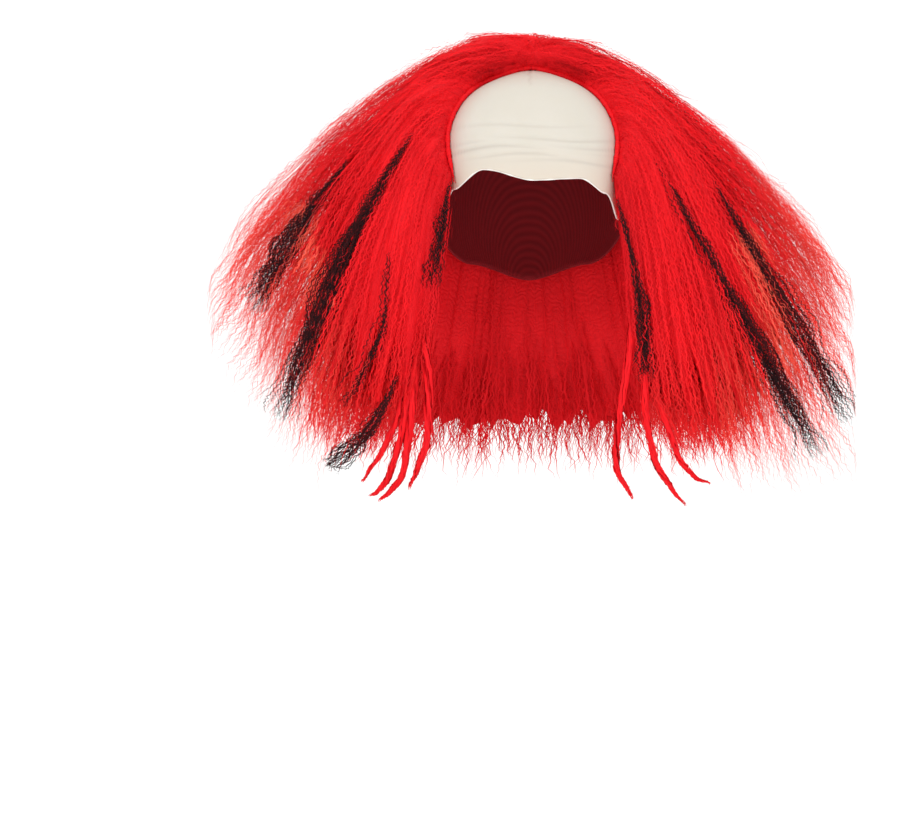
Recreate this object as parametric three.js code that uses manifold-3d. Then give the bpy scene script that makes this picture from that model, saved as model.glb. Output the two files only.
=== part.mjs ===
// A clown wig as it stands on a head: a bald dome of off-white sheet with a rolled front edge, a stretch
// base behind it, and long crimped red hair with black streaks and thin twisted wisps at the front.
// Millimetres, +Z up, the front towards -Y. Left and right in names are -X and +X. The origin is the
// middle of the head opening, at the height of the dome's front edge.
import * as THREE from "three";
import { mergeVertices } from "three/addons/utils/BufferGeometryUtils.js";
import Module from "manifold-3d";

const wasm = await Module();
wasm.setup();

// The head that fills the wig
const headHalfWidth = 77;
const headHalfLength = 97;
const headTop = 91;
const headDepth = 115;
const headFullness = 2.4;
const neckHalfWidth = 60;
const neckBack = 62;

// Bald dome
const domeWall = 1.5;
const crownPeak = 5.5;
const peakHalfWidth = 24;
const peakHalfLength = 34;
const peakBack = 8;
const edgeRollRadius = 1.2;
const rollReach = 66;
const seamLap = 10;

// Base and the hair's roots on it
const baseWall = 1.6;
const rootDepth = 12;
const clearance = 0.3;

// Outline of the hair, measured from the origin
const hairHalfWidth = 275;
const hairDrop = 240;
const hairFront = 100;
const hairBack = 178;

// One lock of hair, one black streak and one twisted wisp
const lockHalfWidth = 29;
const lockHalfDepth = 24;
const lockLift = 40;
const lockArch = 40;
const archPlace = 0.6;
const wispRoot = 0.12;
const streakHalfWidth = 8;
const streakHalfDepth = 4.5;
const streakStep = 8;
const wispRadius = 4.2;

const degree = Math.PI / 180;
const lockSides = 6;
const thinSides = 5;
const thinSteps = 7;
const rimStep = 6;
const rimReaches = [0.6, 0.85, 1.1, 1.6];
const headSides = 24;
const headRows = 16;
const farOff = 2 * (hairHalfWidth + hairDrop);

// Turns rows of bare values into objects with the named columns.
function table(columns, rows) {
  return rows.map((row) => Object.fromEntries(columns.map((column, i) => [column, row[i]])));
}

// Height of the lower rim round the head, as a share of headTop. turn is in degrees from the front
// towards +X.
const rim = table(["turn", "height"], [
  [-180, -0.8],
  [-140, -0.66],
  [-95, -0.38],
  [-70, -0.34],
  [-52, -0.06],
  [-30, 0.1],
  [0, 0],
  [28, 0.02],
  [46, -0.1],
  [62, -0.32],
  [95, -0.38],
  [140, -0.66],
  [180, -0.8],
]);

// The seam between dome and base, seen from the side: height as a share of headTop and distance behind
// the origin as a share of headHalfLength.
const seam = table(["height", "back"], [
  [-1, -0.3],
  [0, -0.28],
  [0.35, -0.14],
  [0.7, 0.05],
  [0.92, 0.13],
  [1.25, 0.15],
]);

// The window that the hair leaves in front of the seam, seen from the front: half its width as a share
// of headHalfWidth at each height, which is a share of headTop.
const frontWindow = table(["height", "halfWidth"], [
  [-1.6, 1],
  [-0.3, 0.84],
  [0, 0.79],
  [0.26, 0.86],
  [0.45, 0.87],
  [0.6, 0.82],
  [0.76, 0.74],
  [0.9, 0.56],
  [0.99, 0.34],
  [1.06, 0],
]);

// Thickness of a lock and of a thin strand along its length, both as shares of the full size.
const lockProfile = table(["along", "size"], [
  [0, 0.55],
  [0.28, 0.92],
  [0.6, 1],
  [0.87, 0.7],
  [1, 0.12],
]);
const thinProfile = table(["along", "size"], [
  [0, 0.2],
  [0.15, 0.8],
  [0.35, 1],
  [0.75, 0.9],
  [1, 0.15],
]);

// Locks of both sides, from the front edge up to the crown, then tier by tier to the back. turn and rise
// place the root on the head, in degrees from the front and above the origin. out, ahead and down place
// the tip, as shares of hairHalfWidth, hairFront (or hairBack where it is negative) and hairDrop;
// rightOut and rightDown are the same for the right side. lift and arch are shares of lockLift and
// lockArch, wide and deep of the lock's half width and half depth.
const lockColumns = [
  "turn", "rise", "out", "ahead", "down", "rightOut", "rightDown", "lift", "arch", "wide", "deep",
];
const sideLocks = table(lockColumns, [
  [55, 4, 0.36, 0.72, 0.84, 0.36, 0.86, 0.4, 0.1, 0.7, 0.62],
  [60, 14, 0.46, 0.8, 0.93, 0.46, 0.95, 0.6, 0.2, 0.9, 0.85],
  [66, 22, 0.59, 0.72, 0.96, 0.58, 0.98, 0.7, 0.3, 1, 0.95],
  [70, 30, 0.72, 0.55, 0.88, 0.71, 0.92, 0.8, 0.3, 1, 1],
  [74, 38, 0.79, 0.38, 0.75, 0.84, 0.9, 0.9, 0.3, 1, 1],
  [78, 46, 0.82, 0.22, 0.57, 0.92, 0.8, 1, 0.3, 1, 1],
  [84, 54, 0.87, 0.1, 0.42, 0.96, 0.62, 1, 0.35, 1, 1],
  [90, 64, 0.96, 0.02, 0.34, 0.97, 0.42, 1, 0.45, 1, 0.95],
  [96, 74, 0.88, -0.06, 0.2, 0.92, 0.26, 1, 0.55, 1.1, 0.85],
  [112, 85, 0.46, -0.14, -0.19, 0.5, -0.13, 1, 0.5, 1.2, 0.9],
  [92, 0, 0.42, 0.08, 0.92, 0.42, 0.92, 0.4, 0.1, 0.95, 0.9],
  [98, 18, 0.6, -0.12, 0.92, 0.6, 0.92, 0.7, 0.3, 1.2, 1],
  [102, 34, 0.76, -0.22, 0.78, 0.78, 0.8, 0.9, 0.4, 1.2, 1],
  [106, 50, 0.85, -0.27, 0.54, 0.87, 0.57, 1, 0.5, 1.2, 1],
  [114, 66, 0.82, -0.34, 0.32, 0.84, 0.35, 1, 0.7, 1.2, 1],
  [124, 6, 0.48, -0.46, 0.98, 0.48, 0.98, 0.7, 0.3, 1.3, 1],
  [124, 26, 0.64, -0.5, 0.85, 0.64, 0.85, 0.9, 0.4, 1.2, 1],
  [128, 44, 0.72, -0.56, 0.62, 0.72, 0.62, 1, 0.6, 1.2, 1],
  [134, 62, 0.66, -0.6, 0.38, 0.66, 0.38, 1, 0.8, 1.2, 1],
  [156, 2, 0.26, -0.66, 1, 0.26, 1, 0.7, 0.3, 1.3, 1],
  [154, 26, 0.4, -0.78, 0.9, 0.4, 0.9, 0.9, 0.5, 1.2, 1],
  [154, 46, 0.44, -0.84, 0.68, 0.44, 0.68, 1, 0.7, 1.2, 1],
  [158, 66, 0.34, -0.84, 0.44, 0.34, 0.44, 1, 0.9, 1.2, 1],
]);

// Locks down the middle of the back, with the same columns.
const middleLocks = table(lockColumns, [
  [180, 2, 0, -0.7, 1, 0, 1, 0.8, 0.3, 1.2, 1],
  [180, 28, 0, -0.87, 0.92, 0, 0.92, 1, 0.5, 1.2, 1],
  [180, 52, 0, -0.87, 0.68, 0, 0.68, 1, 0.8, 1.2, 1],
  [180, 84, 0, -0.6, 0.1, 0, 0.1, 2, 1.1, 1.8, 0.9],
]);

// Black streaks lie in the front of the hair. Three points give each one's course as it is seen from the
// front, as shares of hairHalfWidth and hairDrop, and wide is a share of streakHalfWidth.
const streakColumns = ["name", "side", "fromOut", "fromDown", "midOut", "midDown", "toOut", "toDown", "wide"];
const streaks = table(streakColumns, [
  ["streak_left_outer", -1, 0.55, -0.09, 0.7, 0.14, 0.84, 0.42, 1.1],
  ["streak_left_middle", -1, 0.36, -0.17, 0.55, 0.21, 0.76, 0.8, 1.1],
  ["streak_left_short", -1, 0.43, 0.22, 0.45, 0.5, 0.56, 0.76, 0.8],
  ["streak_left_inner", -1, 0.245, -0.02, 0.275, 0.15, 0.3, 0.36, 0.7],
  ["streak_left_low", -1, 0.4, 0.66, 0.49, 0.85, 0.61, 0.97, 0.9],
  ["streak_right_outer", 1, 0.54, -0.02, 0.73, 0.36, 0.96, 0.81, 1.1],
  ["streak_right_middle", 1, 0.34, -0.12, 0.61, 0.43, 0.86, 0.93, 1.1],
  ["streak_right_inner", 1, 0.25, 0.05, 0.32, 0.42, 0.33, 0.68, 0.8],
]);

// Twisted wisps leave each side's first lock. from is a share of its length; midOut, midAhead and midDown
// are a point on the way and out, ahead and down the tip, as shares like those of a lock.
const wispColumns = ["side", "from", "midOut", "midAhead", "midDown", "out", "ahead", "down", "wide"];
const wisps = table(wispColumns, [
  [-1, 0.62, 0.42, 0.86, 0.85, 0.51, 0.93, 1.02, 0.8],
  [-1, 0.66, 0.41, 0.9, 0.95, 0.485, 0.96, 1.07, 1],
  [-1, 0.7, 0.38, 0.93, 0.95, 0.455, 0.97, 1.09, 1],
  [-1, 0.6, 0.315, 0.95, 0.85, 0.37, 0.98, 1.05, 1.1],
  [1, 0.55, 0.245, 0.95, 0.9, 0.29, 0.98, 1.08, 1.1],
  [1, 0.66, 0.35, 0.92, 0.92, 0.45, 0.97, 1.1, 1],
  [1, 0.72, 0.42, 0.88, 0.92, 0.52, 0.94, 1.03, 0.8],
]);

// Value of one column at a place of another, by straight lines between the rows.
function read(rows, key, value, at) {
  const next = rows.findIndex((row) => row[key] >= at);
  if (next === 0) return rows[0][value];
  if (next < 0) return rows[rows.length - 1][value];
  const share = (at - rows[next - 1][key]) / (rows[next][key] - rows[next - 1][key]);
  return THREE.MathUtils.lerp(rows[next - 1][value], rows[next][value], share);
}

// A closed geometry as a solid that can be joined and cut.
function solidOf(geometry) {
  const bare = new THREE.BufferGeometry();
  const loose = geometry.index ? geometry.toNonIndexed() : geometry;
  bare.setAttribute("position", loose.getAttribute("position"));
  const merged = mergeVertices(bare, 1e-3);
  const triVerts = new Uint32Array(merged.index.array);
  const vertProperties = merged.attributes.position.array;
  return new wasm.Manifold(new wasm.Mesh({ numProp: 3, vertProperties, triVerts }));
}

// A solid as a geometry again.
function geometryOf(solid) {
  const made = solid.getMesh();
  const positions = new Float32Array(made.numVert * 3);
  for (let i = 0; i < made.numVert; i++) {
    positions.set(made.vertProperties.subarray(i * made.numProp, i * made.numProp + 3), i * 3);
  }
  const geometry = new THREE.BufferGeometry();
  geometry.setAttribute("position", new THREE.BufferAttribute(positions, 3));
  geometry.setIndex(new THREE.BufferAttribute(new Uint32Array(made.triVerts), 1));
  geometry.computeVertexNormals();
  return geometry;
}

// A solid through rings of points, each with as many points, closed by a fan at either end.
function loft(rings) {
  const count = rings[0].length;
  const points = rings.flat();
  const faces = [];
  for (let ring = 0; ring + 1 < rings.length; ring++) {
    for (let i = 0; i < count; i++) {
      const a = ring * count + i;
      const b = ring * count + ((i + 1) % count);
      faces.push(a, b, b + count, a, b + count, a + count);
    }
  }
  const middle = (ring) => ring.reduce((sum, p) => sum.add(p), new THREE.Vector3()).divideScalar(count);
  const last = (rings.length - 1) * count;
  points.push(middle(rings[0]), middle(rings[rings.length - 1]));
  for (let i = 0; i < count; i++) {
    faces.push(points.length - 2, (i + 1) % count, i);
    faces.push(points.length - 1, last + i, last + ((i + 1) % count));
  }
  const geometry = new THREE.BufferGeometry().setFromPoints(points);
  geometry.setIndex(faces);
  return solidOf(geometry);
}

// Brings a direction to the surface of the head's rounded form, as shares of its half sizes.
function onHead(direction) {
  const powers = direction.toArray().map((share) => Math.abs(share) ** headFullness);
  const reach = powers.reduce((sum, power) => sum + power, 0) ** (1 / headFullness);
  return direction.clone().divideScalar(reach);
}

// A point on the head, grown by an offset, with the dome's soft peak at the crown.
function headPoint(direction, offset) {
  const share = onHead(direction);
  const depth = share.z > 0 ? headTop : headDepth;
  const x = share.x * (headHalfWidth + offset);
  const y = share.y * (headHalfLength + offset);
  const peakX = x / peakHalfWidth;
  const peakY = (y - peakBack) / peakHalfLength;
  const peak = share.z > 0 ? crownPeak * Math.exp(-peakX * peakX - peakY * peakY) : 0;
  return new THREE.Vector3(x, y, share.z * (depth + offset) + peak);
}

// The head as a solid. Every wall round it has the same facets, so nested walls keep their gap.
function headSolid(offset) {
  const geometry = new THREE.SphereGeometry(1, headSides, headRows);
  const points = geometry.attributes.position;
  for (let i = 0; i < points.count; i++) {
    // The sphere's own upright axis is Y.
    const direction = new THREE.Vector3(points.getX(i), -points.getZ(i), points.getY(i));
    const p = headPoint(direction, offset);
    points.setXYZ(i, p.x, p.y, p.z);
  }
  return solidOf(geometry);
}

// The direction from the head's middle that turn and rise give, in degrees.
function headDirection(turn, rise) {
  const flat = Math.cos(rise * degree);
  return new THREE.Vector3(
    Math.sin(turn * degree) * flat,
    -Math.cos(turn * degree) * flat,
    Math.sin(rise * degree),
  );
}

// Height of the lower rim at a turn, eased from row to row of its table.
function rimHeight(turn) {
  const next = Math.max(1, rim.findIndex((row) => row.turn >= turn));
  const share = THREE.MathUtils.smoothstep(turn, rim[next - 1].turn, rim[next].turn);
  return THREE.MathUtils.lerp(rim[next - 1].height, rim[next].height, share) * headTop;
}

// A point at a turn round the head and at its own height, at a share of the way out to the head's side.
function aroundHead(turn, reach, height) {
  const share = onHead(headDirection(turn, 0)).multiplyScalar(reach);
  return new THREE.Vector3(share.x * headHalfWidth, share.y * headHalfLength, height);
}

// All space above the lower rim.
function aboveRim() {
  const turns = Array.from({ length: 360 / rimStep }, (_, i) => i * rimStep - 180);
  const ring = (reach, lift) => turns.map((turn) => aroundHead(turn, reach, rimHeight(turn) + lift));
  const underside = rimReaches.map((reach) => ring(reach, 0));
  return loft([...underside, ring(rimReaches[rimReaches.length - 1], farOff)]);
}

// All space in front of the seam, moved back by a distance.
function beforeSeam(back) {
  const shape = new THREE.Shape();
  shape.moveTo(-farOff, -farOff);
  shape.lineTo(seam[0].back * headHalfLength + back, -farOff);
  seam.forEach((row) => shape.lineTo(row.back * headHalfLength + back, row.height * headTop));
  shape.lineTo(seam[seam.length - 1].back * headHalfLength + back, farOff);
  shape.lineTo(-farOff, farOff);
  const geometry = new THREE.ExtrudeGeometry(shape, { depth: 2 * farOff, bevelEnabled: false });
  geometry.translate(0, 0, -farOff);
  // The shape's own x, y and depth become y, z and x.
  geometry.applyMatrix4(new THREE.Matrix4().set(0, 0, 1, 0, 1, 0, 0, 0, 0, 1, 0, 0, 0, 0, 0, 1));
  return solidOf(geometry);
}

// The window in the hair before the dome, down to below the hair.
function windowSpace() {
  const half = frontWindow.map((row) => [row.halfWidth * headHalfWidth, row.height * headTop]);
  const lowest = [half[0][0], -farOff];
  const outline = [lowest, ...half, ...half.slice(0, -1).reverse().map(([x, z]) => [-x, z])];
  outline.push([-lowest[0], lowest[1]]);
  const shape = new THREE.Shape(outline.map(([x, z]) => new THREE.Vector2(x, z)));
  const geometry = new THREE.ExtrudeGeometry(shape, { depth: farOff, bevelEnabled: false });
  // The shape's own y becomes height, and its depth runs forward from behind the head.
  geometry.rotateX(90 * degree);
  geometry.translate(0, headHalfLength, 0);
  return solidOf(geometry).intersect(beforeSeam(0));
}

// The room under the head, down to below the hair.
function neckSpace() {
  const shape = new THREE.Shape();
  shape.moveTo(-neckHalfWidth, -farOff);
  shape.lineTo(neckHalfWidth, -farOff);
  shape.lineTo(neckHalfWidth, neckBack - neckHalfWidth);
  shape.absarc(0, neckBack - neckHalfWidth, neckHalfWidth, 0, Math.PI, false);
  const geometry = new THREE.ExtrudeGeometry(shape, {
    depth: farOff,
    bevelEnabled: false,
    curveSegments: 8,
  });
  geometry.translate(0, 0, -farOff);
  return solidOf(geometry);
}

// The rolled edge, along the middle of the dome's wall from one temple to the other.
function rolledEdge() {
  const points = [];
  for (let turn = -rollReach; turn <= rollReach; turn += rimStep) {
    const height = rimHeight(turn);
    const upright = Math.abs(height) / (height > 0 ? headTop : headDepth);
    const shrink = (1 - upright ** headFullness) ** (1 / headFullness);
    const grown = 1 + domeWall / 2 / headHalfWidth;
    points.push(aroundHead(turn, shrink * grown, height));
  }
  const circle = new THREE.Shape();
  circle.absarc(0, 0, edgeRollRadius, 0, 2 * Math.PI, false);
  return solidOf(new THREE.ExtrudeGeometry(circle, {
    steps: points.length,
    curveSegments: 3,
    extrudePath: new THREE.CatmullRomCurve3(points),
  }));
}

function baldDome() {
  const wall = headSolid(domeWall).subtract(headSolid(0));
  return wall.intersect(aboveRim()).intersect(beforeSeam(seamLap)).add(rolledEdge());
}

function wigBase() {
  const inside = domeWall + clearance;
  const wall = headSolid(inside + baseWall).subtract(headSolid(inside));
  return wall.intersect(aboveRim()).subtract(beforeSeam(0));
}

// Where a tip or a point on the way lies.
function placeOf(side, out, ahead, down) {
  const y = ahead > 0 ? -ahead * hairFront : -ahead * hairBack;
  return new THREE.Vector3(side * out * hairHalfWidth, y, -down * hairDrop);
}

// The middle line of a lock: out from the root, over an arch and down to the tip.
function lockLine(lock, side) {
  const direction = headDirection(side * lock.turn, lock.rise);
  const root = headPoint(direction, domeWall + clearance + baseWall);
  const out = side > 0 ? lock.rightOut : lock.out;
  const down = side > 0 ? lock.rightDown : lock.down;
  const tip = placeOf(side, out, lock.ahead, down);
  const lifted = root.clone().addScaledVector(direction, lock.lift * lockLift);
  const arched = root.clone().lerp(tip, archPlace);
  arched.z += lock.arch * lockArch;
  arched.addScaledVector(headDirection(side * lock.turn, 0), (lock.arch * lockArch) / 2);
  return new THREE.CubicBezierCurve3(root, lifted, arched, tip);
}

// Place and section axes of a line at a share of its length: across runs round the head, outward away
// from it.
function sectionAt(line, along) {
  const ahead = line.getTangentAt(along);
  const point = line.getPointAt(along);
  const tip = line.getPointAt(1);
  const round = new THREE.Vector3(-tip.y, tip.x, 0).normalize();
  const across = round.addScaledVector(ahead, -round.dot(ahead)).normalize();
  const outward = new THREE.Vector3().crossVectors(across, ahead);
  return { point, across, outward };
}

// An oval ring about a section.
function ringAt(section, halfWidth, halfDepth, sides) {
  return Array.from({ length: sides }, (_, i) => {
    const angle = (i / sides) * 2 * Math.PI;
    return section.point.clone()
      .addScaledVector(section.across, Math.sin(angle) * halfWidth)
      .addScaledVector(section.outward, Math.cos(angle) * halfDepth);
  });
}

function lockSolid(lock, side) {
  const line = lockLine(lock, side);
  return loft(lockProfile.map((row) => ringAt(
    sectionAt(line, row.along),
    row.size * lock.wide * lockHalfWidth,
    row.size * lock.deep * lockHalfDepth,
    lockSides,
  )));
}

// A thin strand along a line, tapered at both ends.
function thinSolid(line, halfWidth, halfDepth, grow) {
  return loft(Array.from({ length: thinSteps + 1 }, (_, i) => {
    const along = i / thinSteps;
    const size = read(thinProfile, "along", "size", along);
    const section = sectionAt(line, along);
    return ringAt(section, size * halfWidth + grow, size * halfDepth + grow, thinSides);
  }));
}

// The middle line of a streak, half sunk in the front of the hair.
function streakLine(streak, hair) {
  const course = new THREE.CatmullRomCurve3([
    placeOf(streak.side, streak.fromOut, 1, streak.fromDown),
    placeOf(streak.side, streak.midOut, 1, streak.midDown),
    placeOf(streak.side, streak.toOut, 1, streak.toDown),
  ]);
  const points = course.getSpacedPoints(thinSteps);
  const ray = new THREE.Raycaster();
  const found = [];
  points.forEach((point, i) => {
    ray.set(new THREE.Vector3(point.x, -farOff, point.z), new THREE.Vector3(0, 1, 0));
    const hit = ray.intersectObject(hair)[0];
    const limit = i > 0 ? found[i - 1] + streakStep : 0;
    found.push(hit ? Math.min(hit.point.y, limit) : limit - streakStep);
  });
  const smooth = found.map((y, i) => {
    const near = found.slice(Math.max(0, i - 1), i + 2);
    return Math.min(y, near.reduce((sum, other) => sum + other, 0) / near.length);
  });
  return new THREE.CatmullRomCurve3(points.map((point, i) => point.setY(smooth[i])));
}

function wispSolid(wisp) {
  const first = lockLine(sideLocks[0], wisp.side);
  const line = new THREE.CatmullRomCurve3([
    first.getPointAt(wisp.from - wispRoot),
    first.getPointAt(wisp.from),
    placeOf(wisp.side, wisp.midOut, wisp.midAhead, wisp.midDown),
    placeOf(wisp.side, wisp.out, wisp.ahead, wisp.down),
  ]);
  return thinSolid(line, wisp.wide * wispRadius, wisp.wide * wispRadius, 0);
}

// The red hair: locks and wisps fused to a pad of roots on the base, clear of the head and the window.
function redHair() {
  const onBase = domeWall + baseWall + 2 * clearance;
  const head = headSolid(onBase);
  const pad = headSolid(onBase + rootDepth).intersect(aboveRim()).subtract(beforeSeam(0));
  const locks = [-1, 1].flatMap((side) => sideLocks.map((lock) => lockSolid(lock, side)));
  locks.push(...middleLocks.map((lock) => lockSolid(lock, 1)));
  return wasm.Manifold.union([pad, ...locks])
    .subtract(head)
    .subtract(windowSpace())
    .subtract(neckSpace())
    .add(wasm.Manifold.union(wisps.map(wispSolid)));
}

const materials = {
  dome: new THREE.MeshStandardMaterial({ color: 0xe4ddd0, roughness: 0.5, metalness: 0 }),
  base: new THREE.MeshStandardMaterial({ color: 0xa3161d, roughness: 0.9, metalness: 0 }),
  redHair: new THREE.MeshStandardMaterial({ color: 0xe01a22, roughness: 0.6, metalness: 0 }),
  blackHair: new THREE.MeshStandardMaterial({ color: 0x0d0b0c, roughness: 0.5, metalness: 0 }),
};

const wig = new THREE.Group();

function addPiece(name, solid, material) {
  const mesh = new THREE.Mesh(geometryOf(solid), material);
  mesh.name = name;
  wig.add(mesh);
}

// The largest body of a solid, without the crumbs that cutting leaves.
function mainBody(solid) {
  const bodies = solid.decompose();
  return bodies.reduce((best, body) => (body.volume() > best.volume() ? body : best));
}

addPiece("bald_dome", mainBody(baldDome()), materials.dome);
addPiece("wig_base", mainBody(wigBase()), materials.base);

const wholeHair = redHair();
const front = new THREE.Mesh(geometryOf(wholeHair));
const width = (streak) => streak.wide * streakHalfWidth;
const lines = streaks.map((streak) => streakLine(streak, front));
const grooves = streaks.map((streak, i) => thinSolid(lines[i], width(streak), streakHalfDepth, clearance));
addPiece("hair", mainBody(wholeHair.subtract(wasm.Manifold.union(grooves))), materials.redHair);
streaks.forEach((streak, i) => {
  addPiece(streak.name, thinSolid(lines[i], width(streak), streakHalfDepth, 0), materials.blackHair);
});

export default wig;
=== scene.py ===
import bpy
import numpy as np
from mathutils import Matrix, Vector
from mathutils.bvhtree import BVHTree


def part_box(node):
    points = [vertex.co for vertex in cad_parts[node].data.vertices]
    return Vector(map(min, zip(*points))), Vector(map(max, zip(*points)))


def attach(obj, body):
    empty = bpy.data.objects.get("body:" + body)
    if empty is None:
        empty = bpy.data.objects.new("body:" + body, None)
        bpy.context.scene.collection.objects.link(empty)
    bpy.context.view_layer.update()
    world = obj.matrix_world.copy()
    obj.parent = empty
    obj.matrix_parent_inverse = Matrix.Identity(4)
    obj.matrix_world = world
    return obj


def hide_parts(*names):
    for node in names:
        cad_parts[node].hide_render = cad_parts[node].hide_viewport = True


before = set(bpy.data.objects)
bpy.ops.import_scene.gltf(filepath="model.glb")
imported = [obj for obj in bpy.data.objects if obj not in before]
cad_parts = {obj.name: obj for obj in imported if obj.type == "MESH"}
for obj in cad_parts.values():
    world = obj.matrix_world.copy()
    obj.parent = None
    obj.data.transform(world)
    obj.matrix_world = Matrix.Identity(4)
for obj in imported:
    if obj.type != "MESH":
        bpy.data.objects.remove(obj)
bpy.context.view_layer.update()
random = np.random.default_rng(11)
MM = 0.001

# The photograph's frame: its size in pixels and the pixel where the origin lies
PHOTO_WIDTH, PHOTO_HEIGHT = 900, 824
ORIGIN_PIXEL = (532, 185)
PIXEL = 0.83 * MM

# The head opening, as half sizes, and the soft peak of the crown
HEAD_HALF_WIDTH = 77 * MM
HEAD_HALF_LENGTH = 97 * MM
HEAD_TOP = 91 * MM
HEAD_DEPTH = 115 * MM
HEAD_FULLNESS = 2.4
CROWN_PEAK = 5.5 * MM
PEAK_HALF_WIDTH = 24 * MM
PEAK_HALF_LENGTH = 34 * MM
PEAK_BACK = 8 * MM
NECK_HALF_WIDTH = 60 * MM
NECK_CENTRE = 2 * MM

# The sheets on it
DOME_WALL = 1.5 * MM
BASE_WALL = 1.6 * MM
CLEARANCE = 0.3 * MM
SEAM_LAP = 10 * MM
EDGE_ROLL = 0.75 * MM
HAIRLINE_ROLL = 2.0 * MM
# How many points the hairline has on each side, and how many round its corners off
EDGE_POINTS = 110
EDGE_SMOOTHING = 9
# The hair beside the window: where its slope starts and how steep it is, its room, and its easing below
BEVEL_START = 3.2 * MM
BEVEL_BACK = 1.5 * MM
BEVEL_RISE = 1.8
BEVEL_WIDTH = 120 * MM
BEVEL_DEPTH = 10 * MM
BEVEL_LOW = -30 * MM
BEVEL_EASE = 0.1
ROOT_OFFSET = DOME_WALL + BASE_WALL + 2 * CLEARANCE
DOME_OFFSET = DOME_WALL + CLEARANCE

# The outline of the hair, and one lock of it
HAIR_HALF_WIDTH = 275 * MM
HAIR_DROP = 240 * MM
HAIR_FRONT = 100 * MM
HAIR_BACK = 178 * MM
LOCK_HALF_WIDTH = 29 * MM
LOCK_HALF_DEPTH = 24 * MM
LOCK_LIFT = 40 * MM
LOCK_ARCH = 40 * MM
ARCH_PLACE = 0.6
# How high and wide the hair may reach, and the share that is kept of what lies beyond
CEILING = 124 * MM
CEILING_SLOPE = 0.06
SIDE_LIMIT = 268 * MM
KEPT_BEYOND = 0.25
# The most that points are moved out of the head and of the room below it, as a multiple
HEAD_GROWTH = 3
NECK_GROWTH = 6
# How much fuller than a lock the hair is at its top, on the left and on the right
TOP_FULLNESS = {-1: 1.4, 1: 1.05}
# How far beyond the middle the roots at the crown start, so that no parting shows
CROSSING = 20 * MM

# The stage, and the camera, whose scale holds a little ahead of the origin
FLOOR = -0.9
SWEEP_START = 4.5
SWEEP_BEND = 1.2
STAGE_REACH = 9.0
CAMERA_DISTANCE = 3.0
SCALE_AHEAD = 0.03
# Lights: place, size and power, and where they aim
LIGHTS = {
    "key": ((-1.3, -2.2, 1.5), 1.6, 16),
    "fill": ((1.8, -2.0, 0.5), 2.0, 8),
    "top": ((0, 0.3, 2.2), 1.8, 8),
}
LIGHT_AIM = (0, 0, -0.05)

# Crimped strands
LOCK_LENGTH = 300 * MM
STREAK_HALF_WIDTH = 8 * MM
STREAK_STEP = 2.6 * MM
# How far round a streak hair may be black, and how much further back its next point may lie
STREAK_MARGIN = 0.03
STREAK_SLOPE = 3 * MM
WISP_STRANDS = 26
WISP_STEPS = 60
WISP_TURN = 16
WISP_RADIUS = 4.2 * MM
WISP_ROOT = 0.12
WISP_KINK = 0.8 * MM
# Radius of a wisp along its length
WISP_ALONG = [0, 0.15, 0.35, 0.75, 1]
WISP_SIZE = [0.4, 1.0, 1.0, 0.7, 0.2]

# Height of the lower rim as a share of HEAD_TOP, by degrees round the head from the front towards +X
RIM_TURN = [-180, -140, -95, -70, -52, -30, 0, 28, 46, 62, 95, 140, 180]
RIM_HEIGHT = [-0.8, -0.66, -0.38, -0.34, -0.06, 0.1, 0, 0.02, -0.1, -0.32, -0.38, -0.66, -0.8]

# The seam between dome and base from the side: height and distance back, as shares of HEAD_TOP and
# HEAD_HALF_LENGTH
SEAM_HEIGHT = [-1, 0, 0.35, 0.7, 0.92, 1.25]
SEAM_BACK = [-0.3, -0.28, -0.14, 0.05, 0.13, 0.15]

# The window in the hair from the front: half width at each height, as shares of the head's sizes
WINDOW_HEIGHT = [-1.6, -0.3, 0, 0.26, 0.45, 0.6, 0.76, 0.9, 0.955, 0.98, 1.04]
WINDOW_HALF = [1, 0.84, 0.79, 0.86, 0.87, 0.82, 0.72, 0.54, 0.43, 0.3, 0]

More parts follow.
